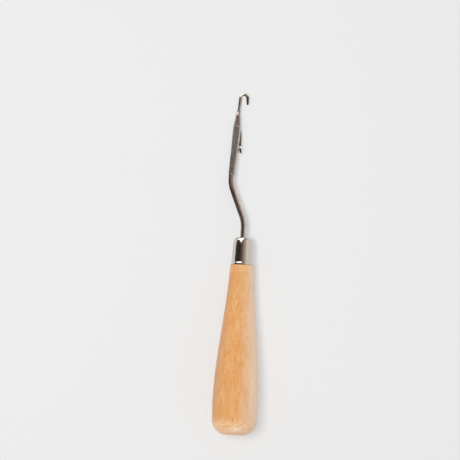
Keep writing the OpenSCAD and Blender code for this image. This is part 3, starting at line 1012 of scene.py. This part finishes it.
def pin(radius, half_length):
    bm = bmesh.new()
    bmesh.ops.create_cone(bm, cap_ends=True, segments=EYE_SEGMENTS, radius1=radius * MM,
                          radius2=radius * MM, depth=2 * half_length * MM)
    return as_object(bm, "pin")


def make_latch():
    arm = latch_arm()
    combine(arm, cup_hollow(), "DIFFERENCE")
    combine(arm, latch_cup(), "UNION")
    combine(arm, pin(EYE_HOLE, 2 * LATCH_HALF), "DIFFERENCE")
    bm = bmesh.new()
    bm.from_mesh(arm.data)
    bpy.data.objects.remove(arm)
    bmesh.ops.remove_doubles(bm, verts=bm.verts, dist=WELD)
    note_unbent(bm)
    return bm


latch_place = LAY_DOWN @ PIVOT @ Matrix.Rotation(LATCH_REST - math.pi / 2, 4, "Z")
make_piece(make_latch(), "latch_arm_and_cup", latch_steel, "latch", "latch",
           place=latch_place, sharp_from=LATCH_SOFT_UP_TO)

# %% [markdown]
# ## The rivet
# A short pin that was peened on both sides and dressed almost flat, so each head is a low button with
# a soft edge. It is one more outline for the lathe, mirrored in the blade's middle, and then turned to
# stand across the blade. It is sunk a little into the flat, so no gap shows where the flat slopes away.

# %% Rivet
RIVET_RADIUS, HEAD_RADIUS, HEAD_RISE = 0.55, 0.84, 0.20
HEAD_FLAT, CROWN_SHARE, HEAD_STEPS = 0.45, 0.995, 10
HEAD_SINK, HEAD_UNDERCUT = 0.08, 0.03


def rivet_outline():
    """Half a section of the rivet, from the middle of one head to the middle of the other."""
    crown = [(0, BLADE_HEIGHT + HEAD_RISE), (HEAD_FLAT, BLADE_HEIGHT + HEAD_RISE * CROWN_SHARE)]
    curve = [(between(math.sin(a), HEAD_FLAT, HEAD_RADIUS), BLADE_HEIGHT + HEAD_RISE * math.cos(a))
             for a in (math.radians(90 * i / HEAD_STEPS) for i in range(1, HEAD_STEPS + 1))]
    foot = [(HEAD_RADIUS - HEAD_UNDERCUT, BLADE_HEIGHT - HEAD_SINK),
            (RIVET_RADIUS, BLADE_HEIGHT - HEAD_SINK)]
    half = crown + curve + foot
    return half + [(radius, -along) for radius, along in reversed(half)]


rivet = turned(rivet_outline())
note_unbent(rivet)
make_piece(rivet, "rivet_pin", rivet_steel, "tool", "rivet",
           place=LAY_DOWN @ PIVOT @ Matrix.Rotation(math.pi / 2, 4, "X"))

# %% [markdown]
# ## The table and the card
# The tool lies on a plain pale table, which glows a little, so that the shadow on it stays faint. A
# black card beside the needle, which only reflections see, gives the needle a dark left edge.
# Photographers place such cards to give bright metal a shape.

# %% Table
TABLE_SIZE = 6.0
TABLE_PALE = (0.42, 0.42, 0.42)
TABLE_GLOW = (0.405, 0.405, 0.405)
MATT, FAINT_SHINE = 0.9, 0.1


def make_table():
    bm = bmesh.new()
    bmesh.ops.create_grid(bm, x_segments=1, y_segments=1, size=TABLE_SIZE / 2)
    table = as_object(bm, "table")
    material, nodes = new_material("table_top")
    close_material(nodes, Base_Color=(*TABLE_PALE, 1.0), Roughness=MATT, Specular_IOR_Level=FAINT_SHINE,
                   Emission_Color=(*TABLE_GLOW, 1.0), Emission_Strength=1.0)
    table.data.materials.append(material)


make_table()
print("the table is", TABLE_SIZE, "m wide")

# %% Black card beside the needle
CARD_CORNERS = ((-0.5, 99.6), (-7.6, 117.1), (-8.2, 130), (-110, 140), (-110, 125), (-10, 102))
CARD_LIFT = 0.05
CARD_BLACK = (0.02, 0.018, 0.017)


def make_card():
    bm = bmesh.new()
    bm.faces.new([bm.verts.new((x * MM, y * MM + butt_place.y, CARD_LIFT * MM)) for x, y in CARD_CORNERS])
    bmesh.ops.recalc_face_normals(bm, faces=bm.faces)
    card = as_object(bm, "black_card")
    material, nodes = new_material("black_card")
    close_material(nodes, Base_Color=(*CARD_BLACK, 1.0), Roughness=MATT, Specular_IOR_Level=FAINT_SHINE)
    card.data.materials.append(material)
    card.visible_camera = card.visible_diffuse = card.visible_shadow = card.visible_transmission = False


make_card()
print("the card lies", CARD_LIFT, "mm over the table")

# %% [markdown]
# ## The room and the light
# A rough surface shows how much light falls on it, and a polished one shows the room. So the world has
# two faces. One is even and pale, for the light on rough surfaces. The other is a room that only
# reflections see: dark to the left, reddish overhead, pale to the right, with a brown wall behind the
# butt, and beyond the hook a brown beam and, to the left, a bright window. Overhead and towards the
# butt, the walls stand a little further left. Real walls and lamps could do the same, but each would
# also change the light on the wood. A ramp from left to right with a few masks over it is enough.
# Places in the room are parts of a direction, from -1 to 1, with +Y from the butt to the hook.

# %% The room that the metal mirrors
ROOM = ((-1.0, (0.070, 0.063, 0.056)), (-0.8, (0.042, 0.037, 0.034)), (-0.6, (0.027, 0.028, 0.030)),
        (-0.42, (0.055, 0.050, 0.054)), (-0.26, (0.150, 0.085, 0.080)), (-0.08, (0.200, 0.115, 0.100)),
        (0.1, (0.340, 0.270, 0.235)), (0.4, (0.500, 0.420, 0.360)), (0.62, (0.720, 0.680, 0.660)),
        (0.78, (0.860, 0.840, 0.820)), (1.0, (0.760, 0.750, 0.760)))
SHIFT_ALONG = (0.22, 0.12, 0.19)
BROWN_WALL, BROWN_WALL_COVER = (0.080, 0.060, 0.052), 0.85
WALL_ALONG, WALL_ACROSS = (0.0, -0.25), (0.6, 0.0)
BEAM_ALONG, BEAM_ACROSS = (0.70, 0.85), ((0.02, 0.12), (0.60, 0.45))
WINDOW, WINDOW_EDGE = (2.4, 2.4, 2.4), (0.0, 0.04)
SILL_CORNER, SILL_LOWEST, SILL_RIGHT, SILL_LEFT = 0.43, 0.37, 0.34, -0.14
FRAME_SLANT, FRAME_EDGE = 0.37, (-0.26, -0.36)
EVEN_LIGHT = 0.47


def room_colour(nodes):
    x, y = nodes.split(nodes.add("ShaderNodeTexCoord", out="Generated"), "XY")
    stops = [(side * 0.5 + 0.5, colour) for side, colour in ROOM]
    shifted = x + y.mask(*SHIFT_ALONG)
    room = nodes.add("ShaderNodeValToRGB", {"stops": stops}, [shifted * 0.5 + 0.5])
    wall = y.step(*WALL_ALONG) * x.step(*WALL_ACROSS)
    room = nodes.mix(wall * BROWN_WALL_COVER, room, BROWN_WALL)
    beam = y.step(*BEAM_ALONG) * x.band(*BEAM_ACROSS)
    room = nodes.mix(beam * BROWN_WALL_COVER, room, BROWN_WALL)
    past_corner = x + SILL_CORNER
    sill = nodes.maths("MAXIMUM", past_corner * SILL_RIGHT, past_corner * SILL_LEFT) + SILL_LOWEST
    window = (y - sill).step(*WINDOW_EDGE) * (x - y * FRAME_SLANT).step(*FRAME_EDGE)
    return nodes.mix(window, room, WINDOW)


def make_world():
    world = bpy.data.worlds.new("studio")
    world.use_nodes = True
    bpy.context.scene.world = world
    nodes = Nodes(world.node_tree)
    mirrored = nodes.add("ShaderNodeBackground", {}, [room_colour(nodes), 1.0])
    even = nodes.add("ShaderNodeBackground", {}, [(1.0, 1.0, 1.0, 1.0), EVEN_LIGHT])
    is_mirrored = nodes.add("ShaderNodeLightPath", out="Is Glossy Ray")
    both = nodes.add("ShaderNodeMixShader", {}, [is_mirrored, even, mirrored])
    nodes.add("ShaderNodeOutputWorld", {}, [both])


make_world()
print("the room has", len(ROOM), "stops from left to right")

# %% [markdown]
# One broad soft lamp hangs over the table, a little to the left, so the shadow is faint and lies close
# on the right. Reflections leave it out, so that the window stays the brightest thing in the room.

# %% Soft lamp
LAMP_AT, LAMP_SIZE, LAMP_POWER = Vector((-0.22, 0.04, 1.0)), 0.34, 6.3


def make_lamp():
    data = bpy.data.lights.new("key_light", "AREA")
    data.shape, data.size, data.energy = "SQUARE", LAMP_SIZE, LAMP_POWER
    lamp = bpy.data.objects.new("key_light", data)
    lamp.location = LAMP_AT
    lamp.rotation_euler = (-LAMP_AT).to_track_quat("-Z", "Y").to_euler()
    lamp.visible_glossy = False
    bpy.context.scene.collection.objects.link(lamp)


make_lamp()
bpy.context.scene.view_settings.view_transform = "Standard"
print("the lamp hangs", LAMP_AT.z, "m over the table")

# %% [markdown]
